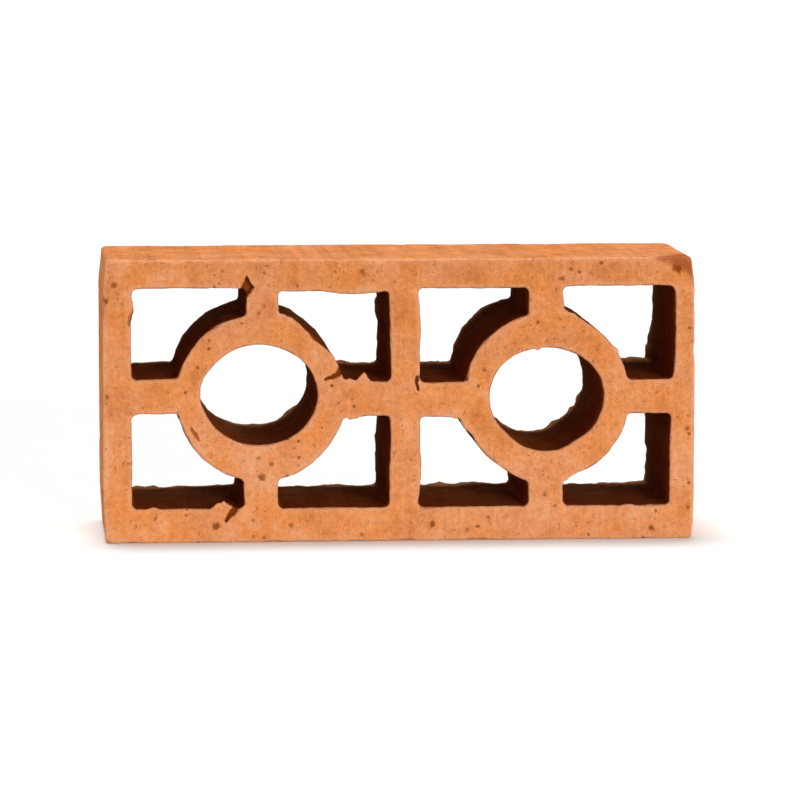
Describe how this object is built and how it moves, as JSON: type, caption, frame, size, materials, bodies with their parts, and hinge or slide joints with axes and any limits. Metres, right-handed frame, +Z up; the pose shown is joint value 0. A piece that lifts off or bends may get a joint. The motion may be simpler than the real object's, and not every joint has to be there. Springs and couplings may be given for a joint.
{
  "type": "air brick",
  "caption": "Extruded terracotta ventilation brick: an open clay frame whose cells each hold a ring on spokes, leaving air passages from face to face.",
  "frame": {"origin": "centre of the bottom bed face", "axes": "+X along the length, +Y from the front face to the back face, +Z up from bed to bed"},
  "size_m": [0.23, 0.075, 0.11],
  "materials": {
    "fired_clay": "matt unglazed fired clay with wire-cut front and back faces"
  },
  "bodies": {
    "root": {"air_brick": "fired_clay"}
  },
  "joints": []
}
